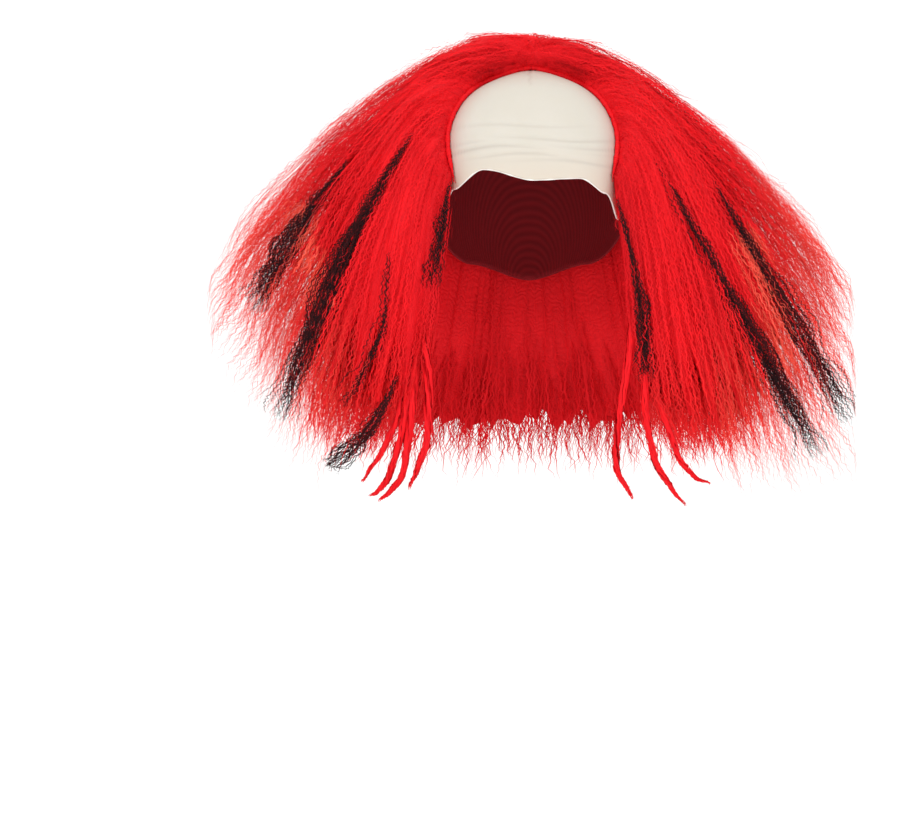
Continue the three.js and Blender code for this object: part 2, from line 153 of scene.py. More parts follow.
# Locks in five columns from the front edge to the middle of the back, each from its lowest lock up to
# the crown. turn and rise place the root in degrees; out, ahead and down place the tip as shares of the
# hair's sizes, right_out and right_down do so at +X; lift, arch, wide and deep are shares of a lock's.
CROWN = (180, 84, 0, -0.6, 0.1, 0, 0.1, 2, 1.1, 1.8, 0.9)
LOCKS = [
    [
        (55, 4, 0.36, 0.72, 0.84, 0.36, 0.86, 0.4, 0.1, 0.7, 0.62),
        (60, 14, 0.46, 0.8, 0.93, 0.46, 0.95, 0.6, 0.2, 0.9, 0.85),
        (66, 22, 0.59, 0.72, 0.96, 0.58, 0.98, 0.7, 0.3, 1, 0.95),
        (70, 30, 0.72, 0.55, 0.88, 0.71, 0.92, 0.8, 0.3, 1, 1),
        (74, 38, 0.79, 0.38, 0.75, 0.84, 0.9, 0.9, 0.3, 1, 1),
        (78, 46, 0.82, 0.22, 0.57, 0.92, 0.8, 1, 0.3, 1, 1),
        (84, 54, 0.87, 0.1, 0.42, 0.96, 0.62, 1, 0.35, 1, 1),
        (90, 64, 0.96, 0.02, 0.34, 0.97, 0.42, 1, 0.45, 1, 0.95),
        (96, 74, 0.88, -0.06, 0.2, 0.92, 0.26, 1, 0.55, 1.1, 0.85),
        (112, 85, 0.46, -0.14, -0.19, 0.5, -0.13, 1, 0.5, 1.2, 0.9),
        CROWN,
    ],
    [
        (92, 0, 0.42, 0.08, 0.92, 0.42, 0.92, 0.4, 0.1, 0.95, 0.9),
        (98, 18, 0.6, -0.12, 0.92, 0.6, 0.92, 0.7, 0.3, 1.2, 1),
        (102, 34, 0.76, -0.22, 0.78, 0.78, 0.8, 0.9, 0.4, 1.2, 1),
        (106, 50, 0.85, -0.27, 0.54, 0.87, 0.57, 1, 0.5, 1.2, 1),
        (114, 66, 0.82, -0.34, 0.32, 0.84, 0.35, 1, 0.7, 1.2, 1),
        CROWN,
    ],
    [
        (124, 6, 0.48, -0.46, 0.98, 0.48, 0.98, 0.7, 0.3, 1.3, 1),
        (124, 26, 0.64, -0.5, 0.85, 0.64, 0.85, 0.9, 0.4, 1.2, 1),
        (128, 44, 0.72, -0.56, 0.62, 0.72, 0.62, 1, 0.6, 1.2, 1),
        (134, 62, 0.66, -0.6, 0.38, 0.66, 0.38, 1, 0.8, 1.2, 1),
        CROWN,
    ],
    [
        (156, 2, 0.26, -0.66, 1, 0.26, 1, 0.7, 0.3, 1.3, 1),
        (154, 26, 0.4, -0.78, 0.9, 0.4, 0.9, 0.9, 0.5, 1.2, 1),
        (154, 46, 0.44, -0.84, 0.68, 0.44, 0.68, 1, 0.7, 1.2, 1),
        (158, 66, 0.34, -0.84, 0.44, 0.34, 0.44, 1, 0.9, 1.2, 1),
        CROWN,
    ],
    [
        (180, 2, 0, -0.7, 1, 0, 1, 0.8, 0.3, 1.2, 1),
        (180, 28, 0, -0.87, 0.92, 0, 0.92, 1, 0.5, 1.2, 1),
        (180, 52, 0, -0.87, 0.68, 0, 0.68, 1, 0.8, 1.2, 1),
        CROWN,
    ],
]

# Thickness of a lock along its length
PROFILE_ALONG = [0, 0.28, 0.6, 0.87, 1]
PROFILE_SIZE = [0.55, 0.92, 1, 0.7, 0.12]

# Black streaks: name, side, then out and down of three points on each course, the width's share and how
# black the streak is
STREAKS = [
    ("streak_left_outer", -1, (0.55, -0.09), (0.7, 0.14), (0.84, 0.42), 1.1, 0.9),
    ("streak_left_middle", -1, (0.36, -0.17), (0.55, 0.21), (0.76, 0.8), 1.1, 1.0),
    ("streak_left_short", -1, (0.43, 0.22), (0.45, 0.5), (0.56, 0.76), 0.5, 0.35),
    ("streak_left_inner", -1, (0.245, -0.02), (0.275, 0.15), (0.3, 0.36), 0.75, 0.6),
    ("streak_left_low", -1, (0.4, 0.66), (0.49, 0.85), (0.61, 0.97), 0.8, 0.8),
    ("streak_right_outer", 1, (0.54, -0.02), (0.73, 0.36), (0.96, 0.81), 1.1, 0.9),
    ("streak_right_middle", 1, (0.34, -0.12), (0.61, 0.43), (0.86, 0.93), 1.1, 0.9),
    ("streak_right_inner", 1, (0.25, 0.05), (0.32, 0.42), (0.33, 0.68), 0.7, 0.7),
]

# Places between the streaks where light through the sparse hair is painted as a paler red: x and z of both
# ends, and the reach, in millimetres
BACKLIT_PLACES = [((-195, -25), (-178, -95), 15), ((178, -50), (212, -145), 15)]

# Wisps: side, where it leaves the first lock, then out, ahead and down of a point on the way and of the
# tip, and the width's share
WISPS = [
    (-1, 0.62, (0.42, 0.86, 0.85), (0.51, 0.93, 1.02), 0.8),
    (-1, 0.66, (0.41, 0.9, 0.95), (0.485, 0.96, 1.07), 1),
    (-1, 0.7, (0.38, 0.93, 0.95), (0.455, 0.97, 1.09), 1),
    (-1, 0.6, (0.315, 0.95, 0.85), (0.37, 0.98, 1.05), 1.1),
    (1, 0.55, (0.245, 0.95, 0.9), (0.29, 0.98, 1.08), 1.1),
    (1, 0.66, (0.35, 0.92, 0.92), (0.45, 0.97, 1.1), 1),
    (1, 0.72, (0.42, 0.88, 0.92), (0.52, 0.94, 1.03), 0.8),
]


def unit(vectors):
    return vectors / np.maximum(np.linalg.norm(vectors, axis=-1, keepdims=True), 1e-9)


def smoothstep(low, high, value):
    share = np.clip((value - low) / (high - low), 0, 1)
    return share * share * (3 - 2 * share)


def draw(low, high, count):
    """A random number for each strand."""
    return random.uniform(low, high, (count, 1))


def between(a, b, c, d, f):
    """A smooth value at the share f of the way from b to c, where a comes before them and d after."""
    return 0.5 * (2 * b + (c - a) * f + (2 * a - 5 * b + 4 * c - d) * f**2 + (3 * b - a - 3 * c + d) * f**3)


def spline(values, at):
    """Smooth values between rows at 0, 1, 2 and so on, at one place for each row of at."""
    last = len(values) - 1
    at = np.clip(at, 0, last)
    i = np.minimum(at.astype(int), last - 1)
    f = (at - i).reshape(at.shape + (1,) * (values.ndim - 1))
    return between(values[np.maximum(i - 1, 0)], values[i], values[i + 1], values[np.minimum(i + 2, last)], f)


def length_along(points, axis=0):
    """The distance from the first point to each one, along an axis of a grid of points."""
    steps = np.diff(points, axis=axis, prepend=np.take(points, [0], axis))
    return np.cumsum(np.linalg.norm(steps, axis=-1), axis=axis)


def head_direction(turn, rise):
    turn, rise = np.radians(turn), np.radians(rise)
    flat = np.cos(rise)
    return np.stack([np.sin(turn) * flat, -np.cos(turn) * flat, np.sin(rise) + 0 * turn], -1)


def on_head(direction):
    reach = (np.abs(direction) ** HEAD_FULLNESS).sum(-1, keepdims=True) ** (1 / HEAD_FULLNESS)
    return direction / np.maximum(reach, 1e-9)


def head_point(direction, offset):
    """A point on the head, grown by an offset, with the soft peak at the crown."""
    share = on_head(direction)
    height = np.where(share[..., 2] > 0, HEAD_TOP, HEAD_DEPTH)
    x = share[..., 0] * (HEAD_HALF_WIDTH + offset)
    y = share[..., 1] * (HEAD_HALF_LENGTH + offset)
    peak = CROWN_PEAK * np.exp(-((x / PEAK_HALF_WIDTH) ** 2) - ((y - PEAK_BACK) / PEAK_HALF_LENGTH) ** 2)
    z = share[..., 2] * (height + offset) + np.where(share[..., 2] > 0, peak, 0)
    return np.stack([x, y, z], -1)


def rim_height(turn):
    """Height of the lower rim, eased from row to row."""
    i = np.clip(np.searchsorted(RIM_TURN, turn), 1, len(RIM_TURN) - 1)
    low, high = np.array(RIM_TURN)[i - 1], np.array(RIM_TURN)[i]
    share = smoothstep(low, high, turn)
    heights = np.array(RIM_HEIGHT)
    return (heights[i - 1] * (1 - share) + heights[i] * share) * HEAD_TOP


def seam_back(height):
    return np.interp(height / HEAD_TOP, SEAM_HEIGHT, SEAM_BACK) * HEAD_HALF_LENGTH


def window_edge(height):
    """Points on the dome where the hair begins at +X, at heights as shares of HEAD_TOP."""
    half = np.interp(height, WINDOW_HEIGHT, WINDOW_HALF) * (1 - smoothstep(0.97, 1.02, height))
    upright = height * np.where(height > 0, 1, HEAD_TOP / HEAD_DEPTH)
    room = 1 - half**HEAD_FULLNESS - np.abs(upright) ** HEAD_FULLNESS
    ahead = np.maximum(room, 0) ** (1 / HEAD_FULLNESS) * (1 - smoothstep(0.9, 0.96, height))
    return head_point(unit(np.stack([half, -ahead, upright], -1)), DOME_WALL)


def rounded_edge():
    """The window's edge at +X from below up to the crown, with its corners rounded off."""
    half = window_edge(np.sin(np.linspace(-0.25, np.pi / 2, EDGE_POINTS)) * 1.02)
    ring = np.concatenate([half, half[-2::-1] * [-1, 1, 1]])
    ring = np.pad(ring, ((EDGE_SMOOTHING, EDGE_SMOOTHING), (0, 0)), mode="edge")
    weights = np.hanning(2 * EDGE_SMOOTHING + 3)[1:-1]
    smooth = [np.convolve(ring[:, k], weights / weights.sum(), mode="valid") for k in range(3)]
    return np.stack(smooth, -1)[:len(half)]


EDGE = rounded_edge()


def bevelled(points):
    """Moves points back so that the hair rises gently from the dome beside the window."""
    x, y, z = np.abs(points[..., 0]), points[..., 1], points[..., 2]
    near = (y < BEVEL_DEPTH) & (x < BEVEL_WIDTH) & (z > BEVEL_LOW)
    spots = np.stack([x[near], z[near]], -1)
    gaps = np.linalg.norm(spots[:, None] - EDGE[:, [0, 2]], axis=-1)
    rise = BEVEL_RISE * np.maximum(gaps.min(1) - BEVEL_START, 0)
    ease = BEVEL_EASE * (1 - smoothstep(-25 * MM, 10 * MM, z[near]))
    points[near, 1] = np.maximum(y[near], EDGE[gaps.argmin(1), 1] + BEVEL_BACK - rise - ease)
    return points


def clear_of_head(points, lap=0):
    """Moves points out of the head, out of the window in front of it and out of the room below it. lap is
    how far hair may reach into the window."""
    points = points.copy()
    x, y, z = np.moveaxis(points, -1, 0)
    ceiling = CEILING - CEILING_SLOPE * x
    z[...] = np.where(z > ceiling, ceiling + KEPT_BEYOND * (z - ceiling), z)
    beyond = np.maximum(np.abs(x) - SIDE_LIMIT, 0)
    x[...] = x - np.sign(x) * (1 - KEPT_BEYOND) * beyond
    offset = np.where(y < seam_back(z), DOME_OFFSET, ROOT_OFFSET)
    height = np.where(z > 0, HEAD_TOP + CROWN_PEAK * 0.6, HEAD_DEPTH) + offset
    share = (np.abs(x) / (HEAD_HALF_WIDTH + offset)) ** HEAD_FULLNESS
    share = share + (np.abs(y) / (HEAD_HALF_LENGTH + offset)) ** HEAD_FULLNESS
    share = share + (np.abs(z) / height) ** HEAD_FULLNESS
    grow = np.where(share < 1, 1 / np.maximum(share, 1e-3) ** (1 / HEAD_FULLNESS), 1)
    points *= np.minimum(grow, HEAD_GROWTH)[..., None]
    x, y, z = np.moveaxis(points, -1, 0)
    half = np.interp(z / HEAD_TOP, WINDOW_HEIGHT, WINDOW_HALF) * HEAD_HALF_WIDTH - lap
    side = np.where(x < 0, -1, 1)
    inside = (y < seam_back(z)) & (np.abs(x) < half)
    points[..., 0] = np.where(inside, side * half, x)
    x = points[..., 0]
    reach = np.hypot(x, np.maximum(y - NECK_CENTRE, 0))
    below = (z < 0) & (reach < NECK_HALF_WIDTH)
    grow = np.where(below, NECK_HALF_WIDTH / np.maximum(reach, 1 * MM), 1)
    grow = np.minimum(grow, NECK_GROWTH)
    points[..., 0] = x * grow
    points[..., 1] = np.where(y > NECK_CENTRE, NECK_CENTRE + (y - NECK_CENTRE) * grow, y)
    return bevelled(points)


def place_of(side, out, ahead, down):
    y = -ahead * HAIR_FRONT if ahead > 0 else -ahead * HAIR_BACK
    return np.array([side * out * HAIR_HALF_WIDTH, y, -down * HAIR_DROP])


def station_rows(locks, side):
    """Rows of turn, rise, the tip's place, lift, arch, wide and deep, with the tip's x away from the
    middle."""
    rows = []
    for turn, rise, out, ahead, down, right_out, right_down, *shares in locks:
        tip = place_of(1, right_out, ahead, right_down) if side > 0 else place_of(1, out, ahead, down)
        rows.append([turn, rise, *tip, *shares])
    return np.array(rows, float)


STATIONS = {side: [station_rows(column, side) for column in LOCKS] for side in (-1, 1)}


def stations(side, tier, round_share):
    """Lock rows at a tier, from 0 at the lowest lock to 1 at the crown, and at a share of the way round,
    from 0 at the front edge to 4 at the middle of the back."""
    columns = [spline(column, tier * (len(column) - 1)) for column in STATIONS[side]]
    mirrored = columns[3] * [-1, 1, -1, 1, 1, 1, 1, 1, 1] + [360, 0, 0, 0, 0, 0, 0, 0, 0]
    grid = np.stack([2 * columns[0] - columns[1], *columns, mirrored], 1)
    i = np.minimum(round_share.astype(int), 3)
    f = (round_share - i)[:, None]
    each = np.arange(len(i))
    return between(*(grid[each, i + k] for k in range(4)), f)


def hair_frame(side, tier, round_share, along):
    """Points along each lock line, with the directions away from the head and to the front, and the half
    width and half depth there. along has a row for each line."""
    rows = stations(side, tier, round_share)
    turn, rise = rows[:, 0], rows[:, 1]
    tip = rows[:, 2:5] * [side, 1, 1]
    lift, arch, wide, deep = rows[:, 5:].T
    direction = head_direction(side * turn, rise)
    root = head_point(direction, ROOT_OFFSET)
    lifted = root + direction * (lift * LOCK_LIFT)[:, None]
    bowed = head_direction(side * turn, 0) * (arch * LOCK_ARCH / 2)[:, None]
    arched = root + (tip - root) * ARCH_PLACE + bowed
    arched[:, 2] += arch * LOCK_ARCH
    a, b, c, d = (p[:, None, :] for p in (root, lifted, arched, tip))
    s = along[..., None]
    points = a * (1 - s) ** 3 + 3 * b * s * (1 - s) ** 2 + 3 * c * s**2 * (1 - s) + d * s**3
    flow = unit((b - a) * (1 - s) ** 2 + 2 * (c - b) * s * (1 - s) + (d - c) * s**2)
    around = unit(np.stack([-tip[:, 1], tip[:, 0], 0 * tip[:, 0]], -1))[:, None, :]
    across = unit(around - flow * (around * flow).sum(-1, keepdims=True))
    away = np.cross(flow, across)
    size = np.interp(along, PROFILE_ALONG, PROFILE_SIZE)
    half_width = size * wide[:, None] * LOCK_HALF_WIDTH
    half_depth = size * deep[:, None] * LOCK_HALF_DEPTH
    half_depth = half_depth * (1 + (TOP_FULLNESS[side] - 1) * smoothstep(0.5, 0.8, tier))[:, None]
    return points, away, -side * across, half_width, half_depth


def streak_course(side, points, count):
    """Points of a streak's course seen from the front, as x and z."""
    knots = np.array([place_of(side, out, 1, down)[[0, 2]] for out, down in points])
    return spline(knots, np.linspace(0, 2, count))


COURSES = [(streak_course(side, points, 25), wide, strength) for _, side, *points, wide, strength in STREAKS]


def black_share(points, scatter):
    """How black the hair is at each point: 1 inside a streak, feathered by a scatter from 0 to 1."""
    black = np.zeros(points.shape[:-1])
    front = 1 - smoothstep(10 * MM, 40 * MM, points[..., 1])
    for course, wide, strength in COURSES:
        low, high = course.min(0) - STREAK_MARGIN, course.max(0) + STREAK_MARGIN
        near = ((points[..., [0, 2]] > low) & (points[..., [0, 2]] < high)).all(-1) & (front > 0)
        if not near.any():
            continue
        spots = points[near][:, [0, 2]]
        gaps = np.linalg.norm(spots[:, None, :] - course[None], axis=-1)
        place = gaps.argmin(1) / (len(course) - 1)
        half = wide * STREAK_HALF_WIDTH * (0.15 + 0.75 * smoothstep(0, 0.6, place))
        share = 1 - smoothstep(0.1 + 0.2 * scatter[near], 0.5 + 1.1 * scatter[near], gaps.min(1) / half)
        share *= strength * smoothstep(-0.05, 0.3, place - 0.35 * scatter[near])
        black[near] = np.maximum(black[near], share * front[near])
    return black


def painted_backlight_share(points):
    """Painted light where it shows through the sparse hair between the streaks, fading towards the back."""
    pale = np.zeros(points.shape[:-1])
    for start, end, reach in BACKLIT_PLACES:
        a, b = np.array(start) * MM, np.array(end) * MM
        spots = points[..., [0, 2]] - a
        share = np.clip((spots @ (b - a)) / ((b - a) @ (b - a)), 0, 1)
        gap = np.linalg.norm(spots - share[..., None] * (b - a), axis=-1)
        pale = np.maximum(pale, 0.8 * np.exp(-((gap / (reach * MM)) ** 2)))
    return pale * (1 - smoothstep(0, 40 * MM, points[..., 1]))


def band_share(tier, round_share):
    """Soft darker bands that follow the flow, from 0 to 1."""
    wave = np.sin(tier * 31 + round_share * 2.3) + 0.7 * np.sin(tier * 57 - round_share * 5.1 + 1)
    return smoothstep(-0.2, 1.5, wave + 0.5 * np.sin(tier * 113 + round_share * 9 + 2))


def painted_window_shade(points):
    """Painted shade on the hair, as brightness from 0 to 1: lower beside and below the window and a little at
    the crown.
    """
    x, z = np.abs(points[..., 0]), points[..., 2]
    beside = 1 - smoothstep(70 * MM, 125 * MM, x)
    crown = smoothstep(80 * MM, 100 * MM, z) * (1 - smoothstep(30 * MM, 110 * MM, x))
    return 1 - 0.48 * beside * (1 - smoothstep(0, 80 * MM, z)) - 0.12 * crown


def crossing(tier, along, side, amount):
    """How far each point moves over, with all of it at the roots and at the crown."""
    return -side * CROSSING * amount * smoothstep(0.7, 0.92, tier) * (1 - along) ** 2


def set_inputs(node, inputs):
    """Sets a node's inputs, each to a plain value or to a link from a socket."""
    for key, value in inputs.items():
        if isinstance(value, bpy.types.NodeSocket):
            node.id_data.links.new(value, node.inputs[key])
        else:
            node.inputs[key].default_value = value


def add_node(tree, kind, inputs, **settings):
    node = tree.nodes.new("ShaderNode" + kind)
    for key, value in settings.items():
        setattr(node, key, value)
    set_inputs(node, inputs)
    return node


def new_material(name):
    material = bpy.data.materials.new(name)
    material.use_nodes = True
    return material, material.node_tree, material.node_tree.nodes["Principled BSDF"]


def mix(tree, factor, first, second):
    return add_node(tree, "Mix", {0: factor, 6: first, 7: second}, data_type="RGBA").outputs[2]


def noise(tree, place, scale, detail, roughness):
    inputs = {"Vector": place, "Scale": scale, "Detail": detail, "Roughness": roughness}
    return add_node(tree, "TexNoise", inputs).outputs["Fac"]


def waves(tree, place, scale, distortion):
    """Bands across the place's Y, as a socket from 0 to 1."""
    inputs = {"Vector": place, "Scale": scale, "Distortion": distortion, "Detail": 2.0}
    return add_node(tree, "TexWave", inputs, bands_direction="Y").outputs["Fac"]


def ramp(tree, value, start, end, most):
    """A socket that rises from 0 to its most as the value goes from start to end."""
    inputs = {"Value": value, "From Min": start, "From Max": end, "To Max": most}
    return add_node(tree, "MapRange", inputs).outputs[0]


def bump(tree, height, strength, distance):
    return add_node(tree, "Bump", {"Height": height, "Strength": strength, "Distance": distance}).outputs[0]


def flow_place(tree):
    """The flow attribute: across and along the piece in metres, and a share of its own."""
    return add_node(tree, "Attribute", {}, attribute_name="flow").outputs["Vector"]


RED = (0.94, 0.009, 0.015, 1)
# The dark red takes the fibres' own changes of tone and the painted shade
DARK_RED = (0.66, 0.006, 0.012, 1)
# Painted light: the pale orange red of light shining through thin hair
BACKLIT_RED = (1.0, 0.11, 0.07, 1)
BLACK = (0.006, 0.002, 0.003, 1)


def hair_material(name, relief=0):
    """Crimped hair: the tone attribute holds brightness with painted shade, a black share, and a pale share
    of painted light through thin hair.
    """
    material, tree, shader = new_material(name)
    tone = add_node(tree, "Attribute", {}, attribute_name="tone").outputs["Color"]
    bright, black, pale = add_node(tree, "SeparateColor", {0: tone}).outputs
    place = flow_place(tree)
    fibres = add_node(tree, "Mapping", {"Vector": place, "Scale": (900, 60, 1)}).outputs[0]
    fibre = noise(tree, fibres, 1.0, 2.0, 0.6)
    spread = ramp(tree, fibre, 0.3, 0.6, 1.0)
    # Painted shade darkens the red by the tone's brightness, and painted light through thin hair turns it
    # pale orange
    shade = add_node(tree, "Math", {0: spread, 1: bright}, operation="MULTIPLY").outputs[0]
    body = mix(tree, pale, mix(tree, shade, DARK_RED, RED), BACKLIT_RED)
    set_inputs(shader, {"Base Color": mix(tree, black, body, BLACK), "Roughness": 0.62,
                        "Specular IOR Level": 0.12})
    if relief:
        crimp_place = add_node(tree, "Mapping", {"Vector": place, "Scale": (120, 64, 1)}).outputs[0]
        crimps = waves(tree, crimp_place, 1.0, 14.0)
        total = add_node(tree, "Math", {0: crimps, 1: fibre}, operation="ADD").outputs[0]
        set_inputs(shader, {"Normal": bump(tree, total, 0.4, relief)})
    return material


STRAND_MATERIAL = hair_material("crimped_strands")
MASS_MATERIAL = hair_material("hair_mass", 0.8 * MM)


def dome_material():
    """Off-white stretch sheet: warmer near the front edge, with painted shade at the top and in the folds,
    and a fine grain."""
    material, tree, shader = new_material("off_white_sheet")
    place = add_node(tree, "TexCoord", {}).outputs["Object"]
    height = add_node(tree, "SeparateXYZ", {0: place}).outputs["Z"]
    near_edge = ramp(tree, height, 0.03, 0.0, 0.75)
    # Painted shade: darker towards the top
    top_shade = ramp(tree, height, 0.045, 0.09, 0.8)
    # Painted shade in the folds
    fold = add_node(tree, "SeparateXYZ", {0: flow_place(tree)}).outputs["Z"]
    mottle = noise(tree, place, 28.0, 4.0, 0.55)
    sheet = mix(tree, mottle, (0.60, 0.56, 0.48, 1), (0.66, 0.62, 0.55, 1))
    sheet = mix(tree, near_edge, sheet, (0.67, 0.58, 0.48, 1))
    sheet = mix(tree, top_shade, sheet, (0.54, 0.5, 0.43, 1))
    grain = noise(tree, place, 1400.0, 2.0, 0.6)
    set_inputs(shader, {
        "Base Color": mix(tree, fold, sheet, (0.5, 0.45, 0.39, 1)),
        "Roughness": 0.5,
        "Specular IOR Level": 0.35,
        "Subsurface Weight": 0.12,
        "Subsurface Radius": (0.004, 0.003, 0.002),
        "Normal": bump(tree, grain, 0.25, 0.15 * MM),
    })
    return material


def highlight_edge_material():
    """The dome's rolled front edge, whiter than its sheet as a painted highlight."""
    material, tree, shader = new_material("rolled_edge_painted_highlight")
    place = add_node(tree, "TexCoord", {}).outputs["Object"]
    mottle = noise(tree, place, 160.0, 2.0, 0.5)
    # Painted highlight: the whiter colour of the rolled edge
    white = mix(tree, mottle, (0.78, 0.72, 0.66, 1), (0.96, 0.93, 0.9, 1))
    set_inputs(shader, {"Base Color": white, "Roughness": 0.35})
    return material


def base_material():
    """Dark red stretch fabric with soft ribs round the head."""
    material, tree, shader = new_material("stretch_fabric")
    ribs = waves(tree, flow_place(tree), 42.0, 1.2)
    fabric = mix(tree, ribs, (0.17, 0.007, 0.011, 1), (0.23, 0.01, 0.015, 1))
    set_inputs(shader, {"Base Color": fabric, "Roughness": 0.85, "Specular IOR Level": 0.2,
                        "Normal": bump(tree, ribs, 0.35, 0.5 * MM)})
    return material


def add_object(name, data):
    made = bpy.data.objects.new(name, data)
    bpy.context.scene.collection.objects.link(made)
    return made


def mesh_piece(name, slot, material, points, faces, flow, tone=None):
    """A piece of the wig from grids of points and flow, and faces of four corners each."""
    points = points.reshape(-1, 3)
    mesh = bpy.data.meshes.new(name)
    mesh.vertices.add(len(points))
    mesh.vertices.foreach_set("co", np.ascontiguousarray(points, np.float32).ravel())
    mesh.loops.add(faces.size)
    mesh.loops.foreach_set("vertex_index", np.ascontiguousarray(faces, np.int32).ravel())
    mesh.polygons.add(len(faces))
    mesh.polygons.foreach_set("loop_start", np.arange(0, faces.size, 4, dtype=np.int32))
    mesh.update(calc_edges=True)
    mesh.polygons.foreach_set("use_smooth", np.ones(len(faces), bool))
    if tone is not None:
        colours = np.ones((len(points), 4), np.float32)
        colours[:, :3] = tone.reshape(-1, 3)
        layer = mesh.color_attributes.new("tone", "FLOAT_COLOR", "POINT")
        layer.data.foreach_set("color", colours.ravel())
    layer = mesh.attributes.new("flow", "FLOAT_VECTOR", "POINT")
    layer.data.foreach_set("vector", np.ascontiguousarray(flow, np.float32).ravel())
    mesh.materials.append(material)
    piece = add_object(name, mesh)
    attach(piece, "root")
    return piece


def grid_faces(rows, columns, closed=False):
    """Faces of a grid of points, row by row, closed round its columns if asked."""
    i = np.arange(rows - 1)[:, None]
    j = np.arange(columns if closed else columns - 1)[None]
    k = (j + 1) % columns
    corners = (i * columns + j, i * columns + k, (i + 1) * columns + k, (i + 1) * columns + j)
    return np.stack([np.broadcast_to(c, (rows - 1, j.shape[1])) for c in corners], -1).reshape(-1, 4)


# The hair's mass: curtains from the lowest tier to the crown, each wrapped round the back of the head
CURTAINS = 15
CURTAIN_STEPS = 24
MASS_WIDTH = 0.6
# Tiers up to here end in a finely ragged hem, whose points differ by a share of the length
FINE_TIERS = 0.3
RAGGED = 0.03
# By tier: the mass's depth as a share of a lock's, and the share of the length where it ends
MASS_TIER = [0, 0.3, 0.6, 0.8, 1]
MASS_DEPTH = [0.75, 0.7, 0.5, 0.25, 0.3]
MASS_ROOT_DEPTH = 0.85
WINDOW_MARGIN = 2.6 * MM
# How far the ends of the upper layers are tucked in towards the head, beside and behind it
TUCK = 12 * MM
BACK_END = 0.87
# How much longer the mass is at its front on the right, in the middle tiers
RIGHT_LONGER = 0.07
MASS_END = [0.88, 0.84, 0.7, 0.6, 0.8]


def curtain_ends(side, tiers, loop_round, ragged):
    """Where a curtain ends round its section, as a share of the hair's length."""
    ends = np.interp(tiers, MASS_TIER, MASS_END)
    ends = ends + (BACK_END - ends) * smoothstep(1.2, 2.2, loop_round) + ragged
    if side > 0:
        fuller = smoothstep(0.08, 0.25, tiers) * (1 - smoothstep(0.5, 0.7, tiers))
        ends = ends + RIGHT_LONGER * fuller * (1 - smoothstep(0.6, 1.4, loop_round))
    return ends


def curtain_depth(half_depth, place, tier):
    """A curtain's half depth, less than a lock's and least at its end."""
    tip_depth = np.interp(tier, MASS_TIER, MASS_DEPTH)
    half_depth = half_depth * (MASS_ROOT_DEPTH + (tip_depth - MASS_ROOT_DEPTH) * smoothstep(0.4, 0.8, place))
    return half_depth * (1 - smoothstep(0.7, 1, place))


def curtain_side(side, tier, width, full):
    """One side of a curtain: rows of points along the hair, round its section, and the bands there."""
    outer = np.linspace(4, 0, 45 if tier < FINE_TIERS else 19)
    caps = np.radians(np.linspace(90, -90, 9))[1:-1]
    loop_round = np.concatenate([outer, 0 * caps, outer[::-1]])
    depth = np.concatenate([np.ones(len(outer)), np.sin(caps), -np.ones(len(outer))])
    forward = np.concatenate([0 * outer, np.cos(caps), 0 * outer])
    tiers = np.full(len(loop_round), tier)
    ragged = random.uniform(-1, 1, len(outer)) * RAGGED * (1 if tier < FINE_TIERS else 0.4)
    ragged = np.concatenate([ragged, 0 * caps, ragged[::-1]])
    ends = 1 + 0 * tiers if full else curtain_ends(side, tiers, loop_round, ragged)
    along = np.linspace(0, 1, CURTAIN_STEPS)[None] * ends[:, None]
    points, away, front, half_width, half_depth = hair_frame(side, tiers, loop_round, along)
    if not full:
        place = along / ends[:, None]
        half_depth = curtain_depth(half_depth, place, tier)
        tuck = TUCK * smoothstep(0.5, 1.5, loop_round)[:, None] * smoothstep(0.05, 0.3, tier)
        points = points - away * (tuck * smoothstep(0.5, 1, place))[..., None]
    points = points + away * (depth[:, None] * half_depth)[..., None]
    points = points + front * (forward[:, None] * half_width * width)[..., None]
    points[..., 0] += crossing(tiers[:, None], along, side, 0.6)
    points = clear_of_head(points, -WINDOW_MARGIN)
    if side > 0:
        points, loop_round, tiers = points[::-1][1:-1], loop_round[::-1][1:-1], tiers[1:-1]
    return points, band_share(tiers, loop_round)


def curtain(tier, width, full):
    """One curtain's points, flow and tone, as a grid along the hair and round its section. A full one
    reaches to the hair's surface and tips."""
    left, right = (curtain_side(side, tier, width, full) for side in (-1, 1))
    points = np.concatenate([left[0], right[0]]).transpose(1, 0, 2)
    bands = np.concatenate([left[1], right[1]])[None].repeat(CURTAIN_STEPS, 0)
    down = length_along(points)
    across = np.broadcast_to(length_along(points, 1)[CURTAIN_STEPS // 2], down.shape)
    flow = np.stack([across, down, 0 * down + tier], -1)
    # Painted shade: the mass is a little darker than the strands over it, and darker still beside the window
    # and at the crown
    shade = (0.8 - 0.4 * bands) * painted_window_shade(points)
    tone = np.stack([shade, 0 * shade, 0.1 * painted_backlight_share(points)], -1)
    return [grid.reshape(-1, 3) for grid in (points, flow, tone)]


def curtains(width, full):
    """Points, faces, flow and tone of all curtains."""
    parts, start = [], 0
    for tier in np.linspace(0.01, 0.93, CURTAINS):
        points, flow, tone = curtain(tier, width, full)
        faces = grid_faces(CURTAIN_STEPS, len(points) // CURTAIN_STEPS, closed=True)
        parts.append((points, faces + start, flow, tone))
        start += len(points)
    return [np.concatenate(part) for part in zip(*parts)]


def hair_mass():
    points, faces, flow, tone = curtains(MASS_WIDTH, False)
    mass = mesh_piece("hair_mass", "red_hair", MASS_MATERIAL, points, faces, flow, tone)
    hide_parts("hair")


